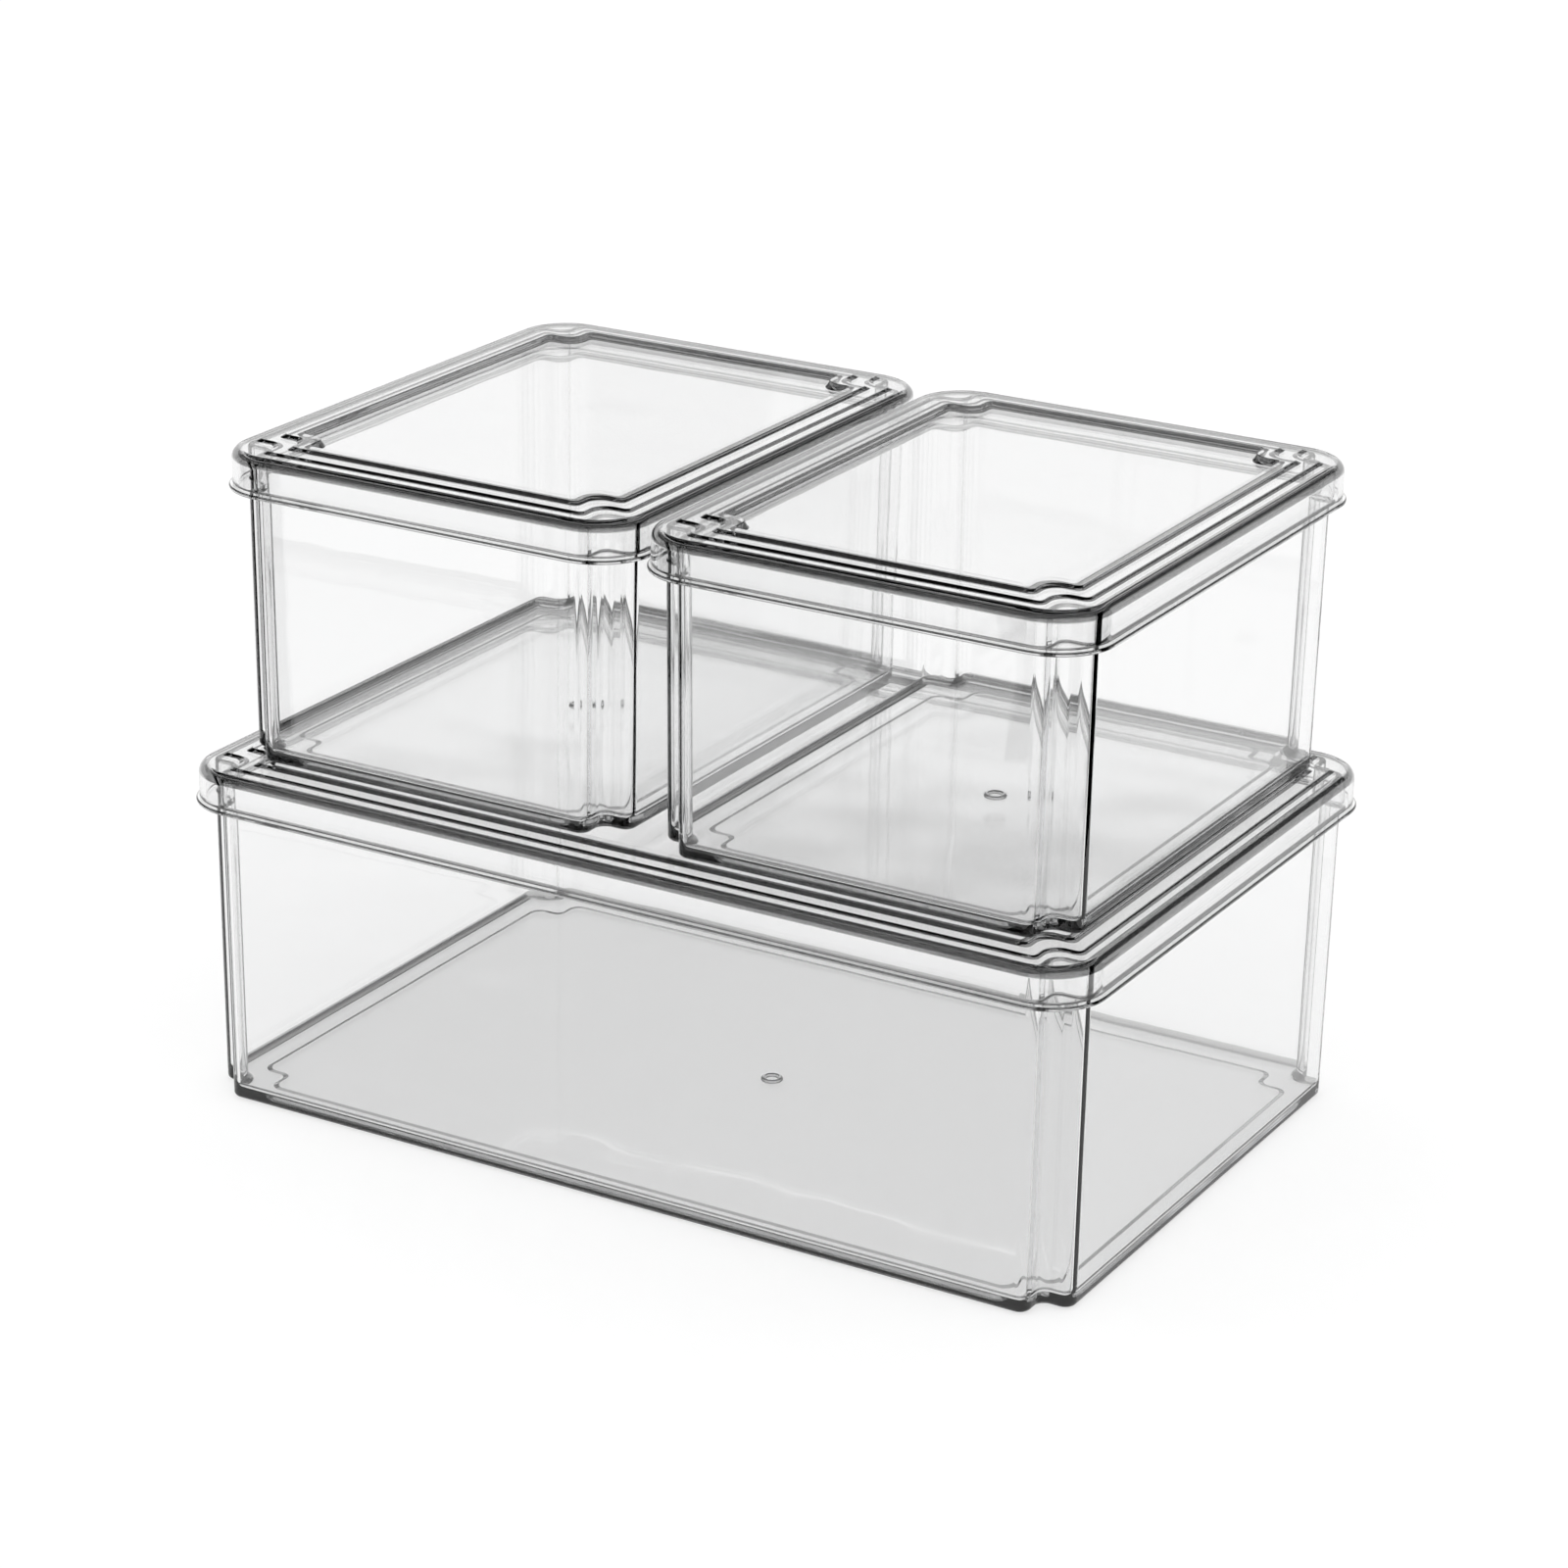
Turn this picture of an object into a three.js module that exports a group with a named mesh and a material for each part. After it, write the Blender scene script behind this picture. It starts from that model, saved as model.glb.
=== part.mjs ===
// A set of three clear, stackable fridge bins, each with a lift-off lid.
// One large bin carries two small ones side by side on its lid.
// Millimetres, +Z up. X is the width, Y the depth (the front faces -Y).
// The origin is the middle of the large bin's base, on the surface it stands on.
import * as THREE from 'three';

// Outside sizes: width and depth over the flange, height with the lid on.
const LARGE = { width: 300, depth: 200, height: 107 };
const SMALL = { width: 142, depth: 184, height: 96 };

// How the small bins stand on the large lid.
const CLEARANCE = 0.3;      // gap left wherever two pieces rest on or in each other
const PAIR_GAP = 1;         // between the two small lids
const PAIR_SHIFT = 1;       // the pair stands this far right of and behind the centre

// Plan shape. Bins have stepped corners, lids and flanges have plain round ones.
const CORNER_RADIUS = 18;   // of the flange, the outermost outline
const STEP = 9.3;           // width and depth of the step cut out of each corner
const STEP_EDGE_RADIUS = 3.8;
const STEP_ROOT_RADIUS = 2.8;
const MIN_RADIUS = 0.8;
const ARC_STEPS = 3;        // facets in each small arc

// The bin's walls and floor.
const WALL = 2;
const BODY_INSET = 4.2;     // of the outer wall from the flange edge, at the top
const DRAFT = 0.8;          // how much further in the wall is at the base
const BASE_FILLET = 1.5;
const INNER_FILLET = 2.2;
const FLOOR = 3;            // thickness over the foot ring
const FOOT_BAND = 9;        // width of the flat ring that the bin stands on
const FOOT_SLOPE = 1;
const PANEL_LIFT = 1;       // how far the underside is hollowed inside the foot ring

// Where the lid sits, below the bin's overall height.
const FLANGE_TOP = 12.4;
const FLANGE_THICKNESS = 1.2;

// The lid. Its top climbs in two steps from the rim to a ridge, then falls to a sunk panel.
// Each corner of the profile is an inset from the flange edge and a drop below the top.
const SKIRT_INSET = 1;
const SKIRT_THICKNESS = 1.8;
const SHOULDER_RADIUS = 3;
const SHOULDER_STEPS = 3;
const LID_INNER_CHAMFER = 1.2;
const LID_THICKNESS = 2;
const CLIMB = [
  { inset: 6.6, drop: 1.6 },
  { inset: 7.6, drop: 0.9 },
  { inset: 11.6, drop: 0.9 },
  { inset: 12.8, drop: 0 },
];
const FALL = [
  { inset: 16.4, drop: 0 },
  { inset: 17.2, drop: 2 },
];
const CLIMB_UNDER_SHIFT = 1;    // how much further in the same corners are underneath
const FALL_UNDER_SHIFT = -1.2;
const STEP_EASE = 2;            // rounds the ridge's corner steps like a wall this far inside

const HALF_SQRT = Math.SQRT1_2;

// One corner's points for an arc, in the quadrant where x and y are positive.
function arc(centreX, centreY, radius, from, to, steps) {
  const points = [];
  for (let i = 0; i <= steps; i += 1) {
    const angle = THREE.MathUtils.degToRad(from + ((to - from) * i) / steps);
    points.push(new THREE.Vector2(
      centreX + radius * Math.cos(angle),
      centreY + radius * Math.sin(angle),
    ));
  }
  return points;
}

// Mirrors one corner into all four, counter-clockwise seen from above.
function allCorners(corner) {
  const reversed = [...corner].reverse();
  const mirrored = (points, signX, signY) =>
    points.map((point) => new THREE.Vector2(point.x * signX, point.y * signY));
  return [
    ...corner,
    ...mirrored(reversed, -1, 1),
    ...mirrored(corner, -1, -1),
    ...mirrored(reversed, 1, -1),
  ];
}

// Plain rectangle with round corners, at an inset from the flange edge.
function roundOutline(size, inset) {
  const halfX = size.width / 2 - inset;
  const halfY = size.depth / 2 - inset;
  const radius = CORNER_RADIUS - inset;
  return allCorners(arc(halfX - radius, halfY - radius, radius, 0, 90, 3 * ARC_STEPS + 2));
}

// Rectangle with a step cut out of each corner. Its radii follow the inset from `datum`,
// so that a wall between two such outlines keeps its thickness round the step.
function steppedOutline(size, inset, datum = inset) {
  const halfX = size.width / 2 - inset;
  const halfY = size.depth / 2 - inset;
  const edge = Math.max(STEP_EDGE_RADIUS - (inset - datum), MIN_RADIUS);
  const root = STEP_ROOT_RADIUS + (inset - datum);
  const stepX = halfX - STEP;
  const stepY = halfY - STEP;
  return allCorners([
    ...arc(halfX - edge, stepY - edge, edge, 0, 90, ARC_STEPS),
    ...arc(stepX + root, stepY + root, root, 270, 180, ARC_STEPS),
    ...arc(stepX - edge, halfY - edge, edge, 0, 90, ARC_STEPS),
  ]);
}

const roundRing = (size, inset, z) => ({ outline: roundOutline(size, inset), z });
const steppedRing = (size, inset, z, datum) => ({ outline: steppedOutline(size, inset, datum), z });

// Closed skin through a list of rings with equal point counts, capped at both ends.
// The first ring's cap faces down and the last ring's cap faces up.
function loft(rings) {
  const count = rings[0].outline.length;
  const positions = rings.flatMap(({ outline, z }) => outline.flatMap((point) => [point.x, point.y, z]));
  const index = [];
  for (let ring = 0; ring + 1 < rings.length; ring += 1) {
    for (let i = 0; i < count; i += 1) {
      const next = (i + 1) % count;
      const a = ring * count + i;
      const b = ring * count + next;
      const c = a + count;
      const d = b + count;
      index.push(a, b, d, a, d, c);
    }
  }
  const cap = (ring, offset, flip) => {
    for (const [a, b, c] of THREE.ShapeUtils.triangulateShape(ring.outline, [])) {
      index.push(offset + a, offset + (flip ? c : b), offset + (flip ? b : c));
    }
  };
  cap(rings[0], 0, true);
  cap(rings.at(-1), (rings.length - 1) * count, false);
  const geometry = new THREE.BufferGeometry();
  geometry.setAttribute('position', new THREE.Float32BufferAttribute(positions, 3));
  geometry.setIndex(index);
  geometry.computeVertexNormals();
  return geometry;
}

// The bin: foot ring round a hollowed underside, drafted outer wall, flange that the lid
// sits on, collar inside the lid's skirt, then the inner wall and the flat floor.
function binGeometry(size) {
  const collarTop = size.height - CLIMB[0].drop - LID_THICKNESS - CLEARANCE;
  const flangeTop = size.height - FLANGE_TOP;
  const flangeBottom = flangeTop - FLANGE_THICKNESS;
  const wall = (z) => BODY_INSET + DRAFT * (1 - z / collarTop);
  const outer = (z) => steppedRing(size, wall(z), z);
  const inner = (extra, z) => steppedRing(size, wall(z) + WALL + extra, z, wall(z));
  const base = wall(0);
  const corner = 1 - HALF_SQRT;
  const footInner = base + FOOT_BAND;
  return loft([
    steppedRing(size, footInner + FOOT_SLOPE, PANEL_LIFT),
    steppedRing(size, footInner, 0),
    steppedRing(size, base + BASE_FILLET, 0),
    steppedRing(size, base + BASE_FILLET * corner, BASE_FILLET * corner),
    outer(BASE_FILLET),
    outer(flangeBottom),
    roundRing(size, 0, flangeBottom),
    roundRing(size, 0, flangeTop),
    outer(flangeTop),
    outer(collarTop),
    inner(0, collarTop),
    inner(0, FLOOR + INNER_FILLET),
    inner(INNER_FILLET * corner, FLOOR + INNER_FILLET * corner),
    inner(INNER_FILLET, FLOOR),
  ]);
}

// The lid: a plate of even thickness with a skirt round it, a rounded shoulder, two steps up
// to the ridge and a sunk panel.
function lidGeometry(size) {
  const top = size.height;
  const rim = top - CLIMB[0].drop;
  const underside = rim - LID_THICKNESS;
  const skirtBottom = top - FLANGE_TOP + CLEARANCE;
  const skirtInner = SKIRT_INSET + SKIRT_THICKNESS;
  const steps = (corners, shift, thickness) => corners.map(({ inset, drop }) =>
    steppedRing(size, inset + shift, top - drop - thickness, inset + shift - STEP_EASE));
  const under = [
    ...steps(CLIMB, CLIMB_UNDER_SHIFT, LID_THICKNESS),
    ...steps(FALL, FALL_UNDER_SHIFT, LID_THICKNESS),
  ];
  const shoulder = [];
  for (let i = 0; i <= SHOULDER_STEPS; i += 1) {
    const angle = (Math.PI / 2) * (i / SHOULDER_STEPS);
    shoulder.push(roundRing(
      size,
      SKIRT_INSET + SHOULDER_RADIUS * (1 - Math.cos(angle)),
      rim - SHOULDER_RADIUS * (1 - Math.sin(angle)),
    ));
  }
  return loft([
    ...under.reverse(),
    roundRing(size, skirtInner + LID_INNER_CHAMFER, underside),
    roundRing(size, skirtInner, underside - LID_INNER_CHAMFER),
    roundRing(size, skirtInner, skirtBottom),
    roundRing(size, SKIRT_INSET, skirtBottom),
    ...shoulder,
    ...steps(CLIMB, 0, 0),
    ...steps(FALL, 0, 0),
  ]);
}

function clearPlastic(colour) {
  return new THREE.MeshStandardMaterial({
    color: colour,
    roughness: 0.06,
    metalness: 0,
    transparent: true,
    opacity: 0.4,
  });
}

function named(name, geometry, colour) {
  const mesh = new THREE.Mesh(geometry, clearPlastic(colour));
  mesh.name = name;
  return mesh;
}

// A bin and its closed lid, standing at (x, y, z).
function binWithLid(size, prefix, suffix, position) {
  const group = new THREE.Group();
  group.add(named(`${prefix}_bin${suffix}`, binGeometry(size), 0xe6eaec));
  group.add(named(`${prefix}_lid${suffix}`, lidGeometry(size), 0xdfe4e7));
  group.position.copy(position);
  return group;
}

const smallOffset = (SMALL.width + PAIR_GAP) / 2;
const smallBase = LARGE.height + CLEARANCE;

const fridgeBins = new THREE.Group();
fridgeBins.add(binWithLid(LARGE, 'large', '', new THREE.Vector3(0, 0, 0)));
for (const [suffix, side] of [['_left', -1], ['_right', 1]]) {
  const place = new THREE.Vector3(PAIR_SHIFT + side * smallOffset, PAIR_SHIFT, smallBase);
  fridgeBins.add(binWithLid(SMALL, 'small', suffix, place));
}

export default fridgeBins;
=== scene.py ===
"""Looks for a set of three clear, stackable fridge bins with lift-off lids.

Each bin and lid of the frame is replaced by a finer piece of the same shape: a closed skin through a
stack of outlines, with every edge rounded as moulding leaves it, in clear plastic.
Sizes in the tables below are millimetres; the scene is in metres.
"""
import math

import bpy
import numpy as np
from mathutils import Matrix, Vector


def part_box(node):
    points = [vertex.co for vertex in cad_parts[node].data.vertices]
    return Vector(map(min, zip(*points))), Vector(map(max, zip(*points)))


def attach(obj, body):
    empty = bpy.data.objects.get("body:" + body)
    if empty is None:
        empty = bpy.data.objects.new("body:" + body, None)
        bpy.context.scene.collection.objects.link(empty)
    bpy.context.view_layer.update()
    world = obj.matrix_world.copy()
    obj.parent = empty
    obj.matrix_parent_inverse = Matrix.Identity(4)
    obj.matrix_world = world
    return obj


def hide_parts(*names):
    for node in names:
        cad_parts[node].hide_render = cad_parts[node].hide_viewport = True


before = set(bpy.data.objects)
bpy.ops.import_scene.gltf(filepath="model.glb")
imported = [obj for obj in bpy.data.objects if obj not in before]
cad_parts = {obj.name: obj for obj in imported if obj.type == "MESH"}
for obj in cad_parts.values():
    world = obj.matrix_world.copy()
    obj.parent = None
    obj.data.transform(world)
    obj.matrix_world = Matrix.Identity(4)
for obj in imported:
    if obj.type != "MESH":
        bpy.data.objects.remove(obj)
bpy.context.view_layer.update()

MM = 0.001

# Plan shape: bins have stepped corners, flanges and lid skirts have plain round ones.
CORNER_RADIUS = 18.0
STEP = 9.3
STEP_EDGE_RADIUS = 3.8
STEP_ROOT_RADIUS = 2.8
MIN_RADIUS = 0.8
ARC_SEGMENTS = 9            # in each small arc of an outline

# The bin, as insets from the flange edge and heights.
WALL = 2.0
BODY_INSET = 4.2
DRAFT = 0.8
FLOOR = 3.0
FOOT_BAND = 9.0
FOOT_SLOPE = 1.0
PANEL_LIFT = 1.0
FLANGE_THICKNESS = 1.2
BASE_FILLET = 1.5
INNER_FILLET = 2.2

# The lid. Its top climbs in two steps to a ridge and falls to a sunk panel; the underside follows.
SKIRT_INSET = 1.0
SKIRT_THICKNESS = 1.8
SHOULDER_RADIUS = 3.0
LID_THICKNESS = 2.0
CLIMB = ((6.6, 1.6), (7.6, 0.9), (11.6, 0.9), (12.8, 0.0))     # insets and drops below the top
FALL = ((16.4, 0.0), (17.2, 2.0))
CLIMB_UNDER_SHIFT = 1.0     # how much further in the same corners are underneath
FALL_UNDER_SHIFT = -1.2
STEP_EASE = 2.0             # the ridge's corner steps are as round as this far inside a bin's wall

# Where the lid sits.
FLANGE_TOP = 12.4           # below the overall height
CLEARANCE = 0.3

# Edge radii and how finely they are rounded.
CRISP = 0.3
SOFT = 0.5
COLLAR_RADIUS = 0.8
SKIRT_ROOT_RADIUS = 1.5
FEWEST_SEGMENTS = 3
SEGMENTS_PER_RADIAN = 4.4   # on an edge of 1 mm radius; it grows as the root of the radius
FLAT_MARGIN = 4.0           # how far a flat middle's first outline is from its edge

# The gate mark in the middle of a bin's floor: a low round ring, inside and underneath.
GATE_RADIUS = 2.6
GATE_EYE = 0.4              # radius of its innermost circle
GATE_CIRCLES = 26
GATE_UNDER = (0.35, 0.45)   # height, and how far from the ring it fades
GATE_INSIDE = (0.25, 0.5)

# Clear plastic.
REFRACTION = 1.56
POLISH = (0.006, 0.024)     # least and most roughness
WAVE_DEPTH = 0.0002         # metres
# Painted shade: the darker grey given as base colour to sloping faces, the rounded edges, standing in for
# the dark lines that refraction of dark surroundings gives them.
PAINTED_EDGE_SHADE = 0.3             # of sloping faces; flat and upright faces have none
BIN_BODY = ((0.56, 0.57, 0.575), 42.0)      # colour and density of the absorption
LID_BODY = ((0.51, 0.515, 0.52), 55.0)

# The table, in metres and shades of grey.
TABLE_HALF = 8.0
TABLE_LEVEL = -0.0003
TABLE_GREY = 0.45
TABLE_GLOW = 0.55

# Dark cards stand in a ring round the set: where each starts and ends, in degrees round the set
# from straight in front.
CARDS = ((78, 125), (288, 318), (352, 370))
CARD_DISTANCE = 0.45
CARD_TOP = 0.6
CARD_FACET = 4.0            # degrees of the ring that each flat strip of a card covers

# The backdrop's grey by the sine of its height above the horizon, and the dome that lights the table.
BACKDROP = ((0.345, 1.0), (0.38, 0.15), (0.7, 0.02))
DOME_STRENGTH = 1.12

# The camera.
CAMERA_AZIMUTH = 29.82      # degrees right of straight in front
CAMERA_ELEVATION = 20.75
CAMERA_ROLL = 1.02
CAMERA_DISTANCE = 1.3747
CAMERA_LENS = 102.98
CAMERA_SENSOR = 36
CAMERA_AIM = (0.0032, 0.0922)   # from the frame's origin, right and up in the picture

# Light paths.
BOUNCES = 32
GLOSSY_BOUNCES = 16


def arc(centre, radius, start, end, count, sign=1.0):
    """Points of an arc and the outline's outward normals there."""
    angle = np.radians(np.linspace(start, end, count))
    ray = np.stack([np.cos(angle), np.sin(angle)], axis=1)
    return np.array(centre) + radius * ray, sign * ray


def all_corners(points, normals):
    """Mirrors one corner into four, counter-clockwise seen from above."""
    signs = [(1, 1, 1), (-1, 1, -1), (-1, -1, 1), (1, -1, -1)]
    return tuple(
        np.concatenate([part[::order] * (sx, sy) for sx, sy, order in signs])
        for part in (points, normals)
    )


def round_outline(half, inset, _datum):
    radius = CORNER_RADIUS - inset
    centre = (half[0] - CORNER_RADIUS, half[1] - CORNER_RADIUS)
    return all_corners(*arc(centre, radius, 0, 90, 3 * (ARC_SEGMENTS + 1)))


def stepped_outline(half, inset, datum):
    """Rectangle with a step cut out of each corner. Its radii follow the inset from the datum."""
    edge = max(STEP_EDGE_RADIUS - (inset - datum), MIN_RADIUS)
    root = STEP_ROOT_RADIUS + (inset - datum)
    side = np.array(half) - inset
    step = side - STEP
    count = ARC_SEGMENTS + 1
    arcs = [
        arc((side[0] - edge, step[1] - edge), edge, 0, 90, count),
        arc(step + root, root, 270, 180, count, sign=-1.0),
        arc((step[0] - edge, side[1] - edge), edge, 0, 90, count),
    ]
    return all_corners(*(np.concatenate(part) for part in zip(*arcs)))


def circle_outline(_half, radius, _datum):
    return all_corners(*arc((0, 0), radius, 0, 90, 3 * (ARC_SEGMENTS + 1)))


def unit(vector):
    return vector / np.linalg.norm(vector)


def rounded(profile):
    """Turns a profile's corners into rings: (outline, inset, datum, z, normal outward, normal up).

    A corner is (outline, inset, z, radius) or has a datum as a fifth value. The path runs from the
    middle of the underside, out and up round the piece, to the middle of the upper side, so that
    the outward normal is always on its right. The first and last corners are plain ends."""
    places = [np.array((-corner[1], corner[2])) for corner in profile]
    rings = []
    for i, corner in enumerate(profile):
        outline, inset, _z, radius = corner[:4]
        datum = corner[4] if len(corner) > 4 else inset
        here = places[i]
        into = unit(here - places[i - 1]) if i else unit(places[1] - here)
        out = unit(places[i + 1] - here) if i + 1 < len(places) else into
        normal_in = np.array((into[1], -into[0]))
        normal_out = np.array((out[1], -out[0]))
        turn = math.atan2(into[0] * out[1] - into[1] * out[0], float(into @ out))
        if radius == 0:
            rings.append((outline, -here[0], datum, here[1], *normal_in))
            continue
        side = math.copysign(1.0, turn)
        start = here - into * radius * math.tan(abs(turn) / 2)
        centre = start - side * radius * normal_in
        count = FEWEST_SEGMENTS + int(SEGMENTS_PER_RADIAN * math.sqrt(radius) * abs(turn))
        for k in range(count + 1):
            angle = turn * k / count
            spin = np.array(((math.cos(angle), -math.sin(angle)), (math.sin(angle), math.cos(angle))))
            normal = spin @ normal_in
            place = centre + side * radius * normal
            rings.append((outline, -place[0], datum, place[1], *normal))
    return rings


def loft(name, half, centre, rings):
    """Closed skin through the rings, capped at both ends, with exact normals."""
    points, normals = [], []
    for outline, inset, datum, z, normal_out, normal_up in rings:
        place, ray = outline(half, inset, datum)
        count = len(place)
        points.append(np.column_stack([place, np.full(count, z)]))
        normals.append(np.column_stack([ray * normal_out, np.full(count, normal_up)]))
    vertices = (np.concatenate(points) + centre) * MM
    faces = [list(range(count))[::-1]]
    for ring in range(len(rings) - 1):
        low = ring * count
        for i in range(count):
            j = (i + 1) % count
            faces.append([low + i, low + j, low + count + j, low + count + i])
    faces.append(list(range((len(rings) - 1) * count, len(rings) * count)))
    mesh = bpy.data.meshes.new(name)
    mesh.from_pydata(vertices.tolist(), [], faces)
    mesh.polygons.foreach_set("use_smooth", [True] * len(mesh.polygons))
    mesh.normals_split_custom_set_from_vertices(np.concatenate(normals).tolist())
    mesh.update()
    piece = bpy.data.objects.new(name, mesh)
    bpy.context.scene.collection.objects.link(piece)
    return piece


def gate_rings(level, facing, mark):
    """The gate mark on a flat that faces up (1) or down (-1): circles with a bell-shaped rise."""
    height, width = mark
    radii = np.linspace(GATE_RADIUS + 3 * width, GATE_EYE, GATE_CIRCLES)
    bump = np.exp(-(((radii - GATE_RADIUS) / width) ** 2))
    slope = -2 * (radii - GATE_RADIUS) / width ** 2 * bump * height
    rings = []
    for radius, lift, tilt in zip(radii, bump * height, slope):
        normal = unit(np.array((-tilt, 1.0)))
        rings.append((circle_outline, radius, 0, level + facing * lift, normal[0], facing * normal[1]))
    return rings[::facing]


def bin_profile(height):
    collar_top = height - CLIMB[0][1] - LID_THICKNESS - CLEARANCE
    flange_top = height - FLANGE_TOP
    flange_bottom = flange_top - FLANGE_THICKNESS

    def wall(z):
        return BODY_INSET + DRAFT * (1 - z / collar_top)

    base = wall(0)
    foot_inner = base + FOOT_BAND
    panel = foot_inner + FOOT_SLOPE
    top = wall(collar_top)
    return rounded([
        (stepped_outline, panel + FLAT_MARGIN, PANEL_LIFT, 0),
        (stepped_outline, panel, PANEL_LIFT, SOFT),
        (stepped_outline, foot_inner, 0, SOFT),
        (stepped_outline, base, 0, BASE_FILLET),
        (stepped_outline, wall(flange_bottom), flange_bottom, SOFT),
        (round_outline, 0, flange_bottom, SOFT),
        (round_outline, 0, flange_top, SOFT),
        (stepped_outline, wall(flange_top), flange_top, SOFT),
        (stepped_outline, top, collar_top, COLLAR_RADIUS),
        (stepped_outline, top + WALL, collar_top, COLLAR_RADIUS, top),
        (stepped_outline, base + WALL, FLOOR, INNER_FILLET, base),
        (stepped_outline, panel + FLAT_MARGIN, FLOOR, 0),
    ])


def lid_profile(height):
    rim = height - CLIMB[0][1]
    skirt_bottom = height - FLANGE_TOP + CLEARANCE
    skirt_inner = SKIRT_INSET + SKIRT_THICKNESS

    def steps(corners, shift, thickness, radius):
        return [
            (stepped_outline, inset + shift, height - drop - thickness, radius, inset + shift - STEP_EASE)
            for inset, drop in corners
        ]

    upper = steps(CLIMB, 0.0, 0.0, CRISP) + steps(FALL, 0.0, 0.0, SOFT)
    under = (steps(CLIMB, CLIMB_UNDER_SHIFT, LID_THICKNESS, CRISP)
             + steps(FALL, FALL_UNDER_SHIFT, LID_THICKNESS, CRISP))
    middle = FALL[-1][0] + FLAT_MARGIN
    return rounded([
        (stepped_outline, middle, under[-1][2], 0, middle - STEP_EASE),
        *under[::-1],
        (round_outline, skirt_inner, rim - LID_THICKNESS, SKIRT_ROOT_RADIUS),
        (round_outline, skirt_inner, skirt_bottom, SOFT),
        (round_outline, SKIRT_INSET, skirt_bottom, SOFT),
        (round_outline, SKIRT_INSET, rim, SHOULDER_RADIUS),
        *upper,
        (stepped_outline, middle, upper[-1][2], 0, middle - STEP_EASE),
    ])


def grey_ramp(nodes, stops):
    """A colour ramp through (position, grey) stops, given in order."""
    ramp = nodes.new("ShaderNodeValToRGB")
    elements = ramp.color_ramp.elements
    first, *between, last = stops
    for element, (position, grey) in zip(elements, (first, last)):
        element.position = position
        element.color = (grey, grey, grey, 1.0)
    for position, grey in between:
        elements.new(position).color = (grey, grey, grey, 1.0)
    return ramp


def clear_plastic(name, tint, density):
    """Clear moulded plastic: slightly wavy faces, uneven polish, a faint grey body colour and
    painted shade on the rounded edges: their sloping faces get a darker colour in place of the dark lines
    that refraction gives them."""
    material = bpy.data.materials.new(name)
    material.use_nodes = True
    nodes, links = material.node_tree.nodes, material.node_tree.links
    shader = nodes["Principled BSDF"]
    output = nodes["Material Output"]
    shader.inputs["IOR"].default_value = REFRACTION
    shader.inputs["Transmission Weight"].default_value = 1.0
    place = nodes.new("ShaderNodeTexCoord")

    polish = nodes.new("ShaderNodeTexNoise")
    polish.inputs["Scale"].default_value = 60.0
    polish.inputs["Detail"].default_value = 6.0
    links.new(place.outputs["Object"], polish.inputs["Vector"])
    uneven = nodes.new("ShaderNodeMapRange")
    uneven.inputs["From Min"].default_value = 0.35
    uneven.inputs["From Max"].default_value = 0.75
    uneven.inputs["To Min"].default_value = POLISH[0]
    uneven.inputs["To Max"].default_value = POLISH[1]
    links.new(polish.outputs["Fac"], uneven.inputs["Value"])
    links.new(uneven.outputs["Result"], shader.inputs["Roughness"])

    wave = nodes.new("ShaderNodeTexNoise")
    wave.inputs["Scale"].default_value = 22.0
    wave.inputs["Detail"].default_value = 1.0
    links.new(place.outputs["Object"], wave.inputs["Vector"])
    bump = nodes.new("ShaderNodeBump")
    bump.inputs["Strength"].default_value = 1.0
    bump.inputs["Distance"].default_value = WAVE_DEPTH
    links.new(wave.outputs["Fac"], bump.inputs["Height"])
    links.new(bump.outputs["Normal"], shader.inputs["Normal"])

    # Painted shade: the base colour goes darker where the surface slopes between flat and upright, so
    # rounded edges look as dark as refraction would make them.
    facing = nodes.new("ShaderNodeSeparateXYZ")
    links.new(place.outputs["Normal"], facing.inputs["Vector"])
    slope = nodes.new("ShaderNodeMath")
    slope.operation = "ABSOLUTE"
    links.new(facing.outputs["Z"], slope.inputs[0])
    edges = grey_ramp(nodes, ((0.04, 1.0), (0.15, PAINTED_EDGE_SHADE), (0.93, PAINTED_EDGE_SHADE), (0.99, 1.0)))
    links.new(slope.outputs["Value"], edges.inputs["Fac"])
    links.new(edges.outputs["Color"], shader.inputs["Base Color"])

    body = nodes.new("ShaderNodeVolumeAbsorption")
    body.inputs["Color"].default_value = (*tint, 1.0)
    body.inputs["Density"].default_value = density
    links.new(body.outputs["Volume"], output.inputs["Volume"])
    return material


def build_pair(bin_name, lid_name, bin_material, lid_material):
    """A bin and its lid, in the box that their two bodies fill in the frame."""
    low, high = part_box(bin_name)
    lid_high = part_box(lid_name)[1]
    half = ((high.x - low.x) / 2 / MM, (high.y - low.y) / 2 / MM)
    centre = np.array(((low.x + high.x) / 2, (low.y + high.y) / 2, low.z)) / MM
    height = (lid_high.z - low.z) / MM
    body = bin_profile(height)
    under = gate_rings(PANEL_LIFT, -1, GATE_UNDER)
    inside = gate_rings(FLOOR, 1, GATE_INSIDE)
    for name, rings, material, slot in (
        (bin_name, under + body + inside, bin_material, "bin_plastic"),
        (lid_name, lid_profile(height), lid_material, "lid_plastic"),
    ):
        piece = loft(name + "_clear", half, centre, rings)
        piece.data.materials.append(material)
        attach(piece, name)
        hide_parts(name)


def build_bins():
    bin_material = clear_plastic("bin clear plastic", *BIN_BODY)
    lid_material = clear_plastic("lid clear plastic", *LID_BODY)
    build_pair("large_bin", "large_lid", bin_material, lid_material)
    for side in ("left", "right"):
        build_pair("small_bin_" + side, "small_lid_" + side, bin_material, lid_material)


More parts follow.
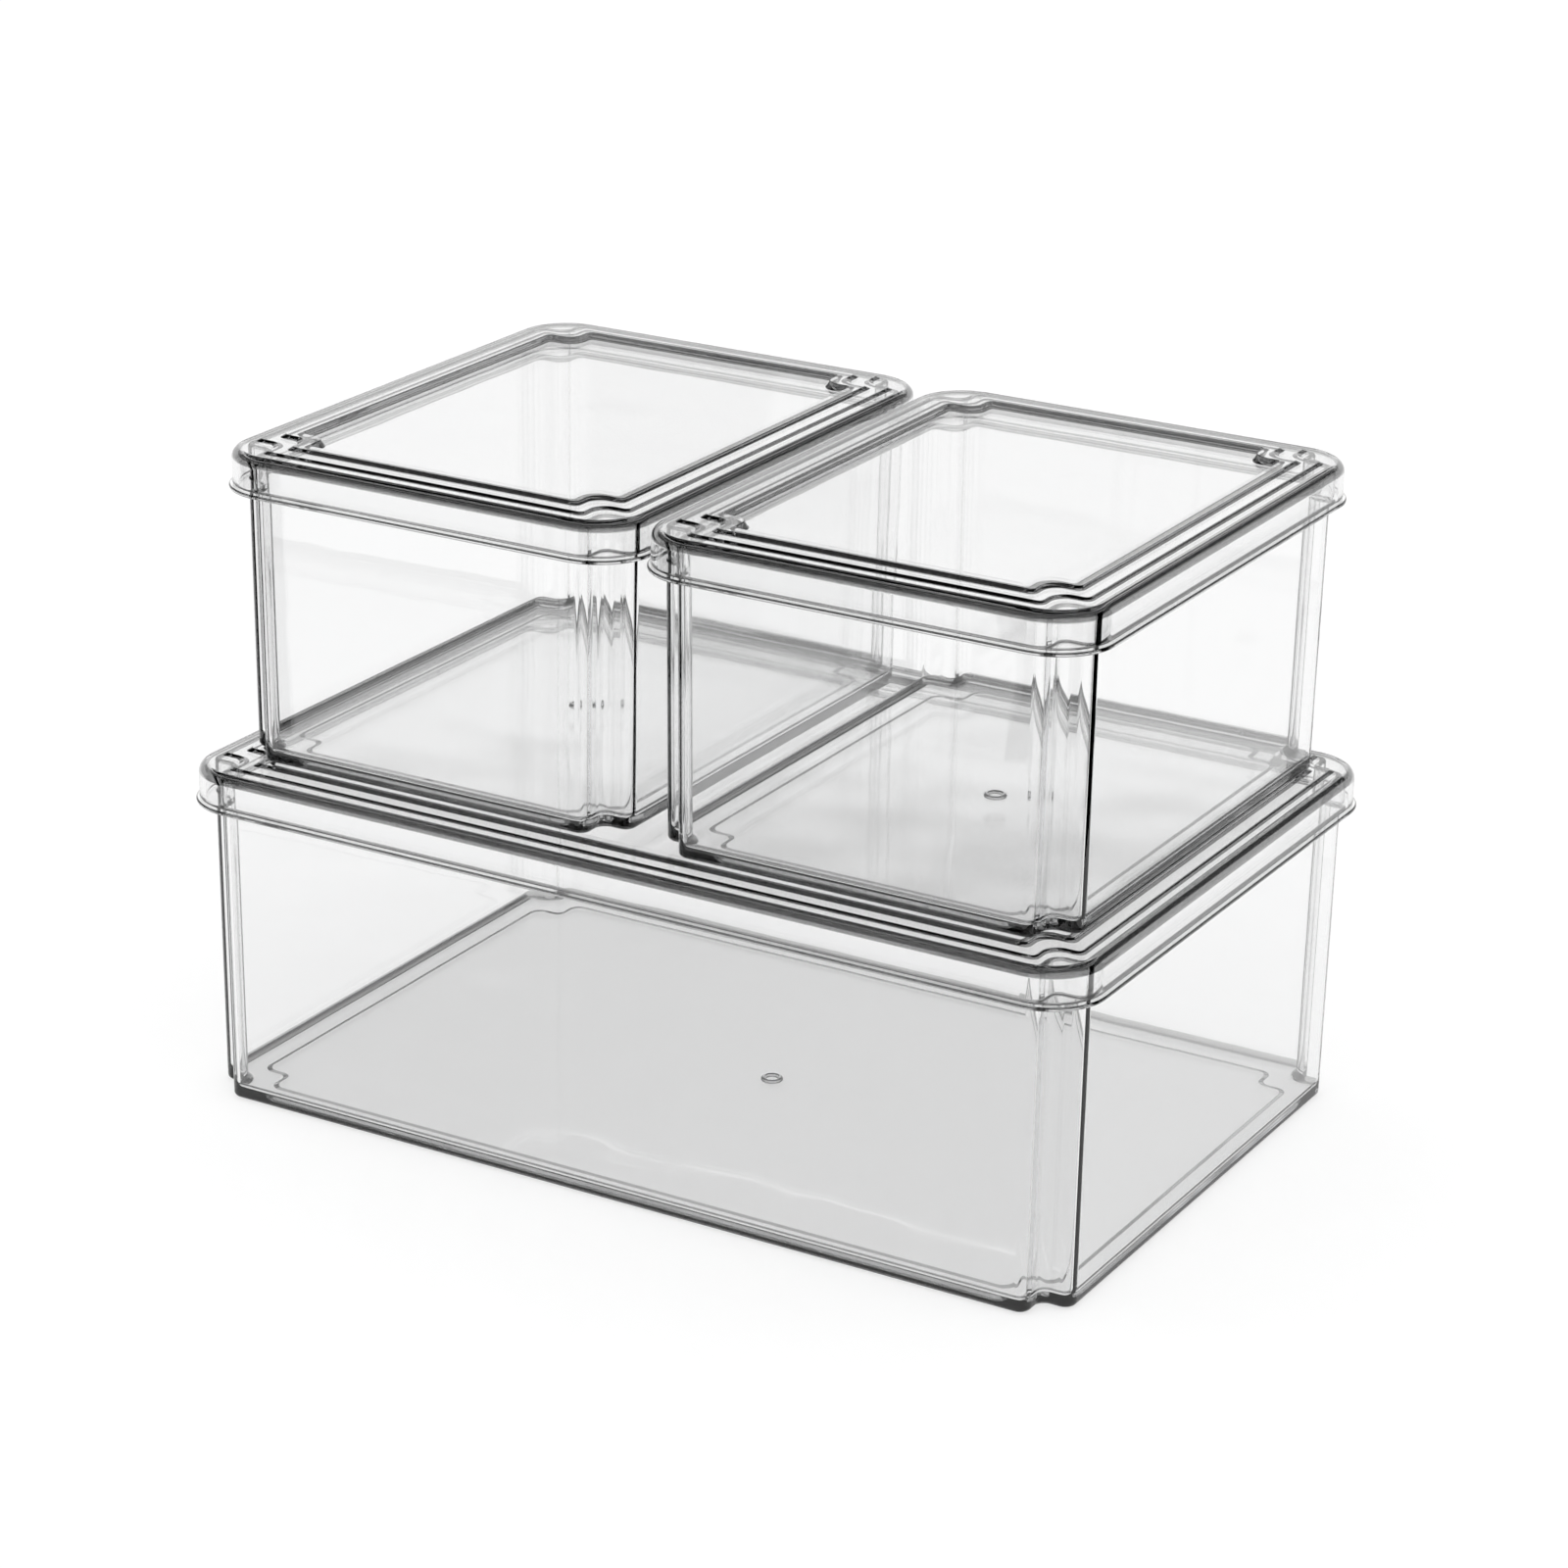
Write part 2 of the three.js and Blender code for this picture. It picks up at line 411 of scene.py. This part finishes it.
def glow_material(name, grey, glow):
    """A matt material with a base grey and a white glow."""
    material = bpy.data.materials.new(name)
    material.use_nodes = True
    shader = material.node_tree.nodes["Principled BSDF"]
    shader.inputs["Base Color"].default_value = (grey, grey, grey, 1.0)
    shader.inputs["Emission Color"].default_value = (1.0, 1.0, 1.0, 1.0)
    shader.inputs["Emission Strength"].default_value = glow
    shader.inputs["Roughness"].default_value = 1.0
    shader.inputs["Specular IOR Level"].default_value = 0.0
    return material


def staged(name, corners, faces, material):
    """A plain mesh that belongs to the surroundings."""
    mesh = bpy.data.meshes.new(name)
    mesh.from_pydata(corners, [], faces)
    mesh.materials.append(material)
    obj = bpy.data.objects.new(name, mesh)
    bpy.context.scene.collection.objects.link(obj)
    return obj


def build_floor():
    """A plain white table."""
    signs = ((-1, -1), (1, -1), (1, 1), (-1, 1))
    corners = [(x * TABLE_HALF, y * TABLE_HALF, TABLE_LEVEL) for x, y in signs]
    staged("floor", corners, [(0, 1, 2, 3)], glow_material("white table", TABLE_GREY, TABLE_GLOW))


def build_cards():
    """Dark cards, seen only by reflection and refraction, which give clear edges their dark lines."""
    dark = glow_material("black card", 0.0, 0.0)
    for number, (start, end) in enumerate(CARDS):
        edges = [
            (CARD_DISTANCE * math.sin(angle), -CARD_DISTANCE * math.cos(angle))
            for angle in np.radians(np.linspace(start, end, round((end - start) / CARD_FACET) + 1))
        ]
        corners = [(x, y, z) for x, y in edges for z in (0, CARD_TOP)]
        strips = [(i, i + 2, i + 3, i + 1) for i in range(0, len(corners) - 2, 2)]
        card = staged("card_%d" % number, corners, strips, dark)
        card.visible_camera = False
        card.visible_diffuse = False
        card.visible_shadow = False


def build_world():
    """A white backdrop all round up to the height that the lids reflect, and a dim room above it.
    The table gets even light from the whole dome."""
    world = bpy.data.worlds.new("studio")
    world.use_nodes = True
    world.cycles.sampling_method = "NONE"
    bpy.context.scene.world = world
    nodes, links = world.node_tree.nodes, world.node_tree.links
    place = nodes.new("ShaderNodeTexCoord")
    split = nodes.new("ShaderNodeSeparateXYZ")
    ramp = grey_ramp(nodes, BACKDROP)
    links.new(place.outputs["Generated"], split.inputs["Vector"])
    links.new(split.outputs["Z"], ramp.inputs["Fac"])
    seen = nodes["Background"]
    links.new(ramp.outputs["Color"], seen.inputs["Color"])
    dome = nodes.new("ShaderNodeBackground")
    dome.inputs["Color"].default_value = (1.0, 1.0, 1.0, 1.0)
    dome.inputs["Strength"].default_value = DOME_STRENGTH
    path = nodes.new("ShaderNodeLightPath")
    after_table = nodes.new("ShaderNodeMath")
    after_table.operation = "GREATER_THAN"
    after_table.inputs[1].default_value = 0.5
    links.new(path.outputs["Diffuse Depth"], after_table.inputs[0])
    mix = nodes.new("ShaderNodeMixShader")
    links.new(after_table.outputs["Value"], mix.inputs["Fac"])
    links.new(seen.outputs["Background"], mix.inputs[1])
    links.new(dome.outputs["Background"], mix.inputs[2])
    links.new(mix.outputs["Shader"], nodes["World Output"].inputs["Surface"])


def build_camera():
    azimuth, elevation, roll = map(math.radians, (CAMERA_AZIMUTH, CAMERA_ELEVATION, CAMERA_ROLL))
    back = Vector((
        math.sin(azimuth) * math.cos(elevation),
        -math.cos(azimuth) * math.cos(elevation),
        math.sin(elevation),
    ))
    level = Vector((math.cos(azimuth), math.sin(azimuth), 0))
    turn = Matrix.Rotation(roll, 3, back)
    right = turn @ level
    up = turn @ back.cross(level)
    data = bpy.data.cameras.new("camera")
    data.lens = CAMERA_LENS
    data.sensor_width = CAMERA_SENSOR
    camera = bpy.data.objects.new("camera", data)
    place = right * CAMERA_AIM[0] + up * CAMERA_AIM[1] + back * CAMERA_DISTANCE
    camera.matrix_world = Matrix.Translation(place) @ Matrix((right, up, back)).transposed().to_4x4()
    bpy.context.scene.collection.objects.link(camera)
    bpy.context.scene.camera = camera


def set_light_paths():
    """Enough bounces to see through several clear walls, and plain whites."""
    scene = bpy.context.scene
    scene.view_settings.view_transform = "Standard"
    scene.cycles.max_bounces = BOUNCES
    scene.cycles.transmission_bounces = BOUNCES
    scene.cycles.glossy_bounces = GLOSSY_BOUNCES
    scene.cycles.transparent_max_bounces = BOUNCES
    scene.cycles.blur_glossy = 0.0


build_camera()
build_bins()
build_floor()
build_cards()
build_world()
set_light_paths()
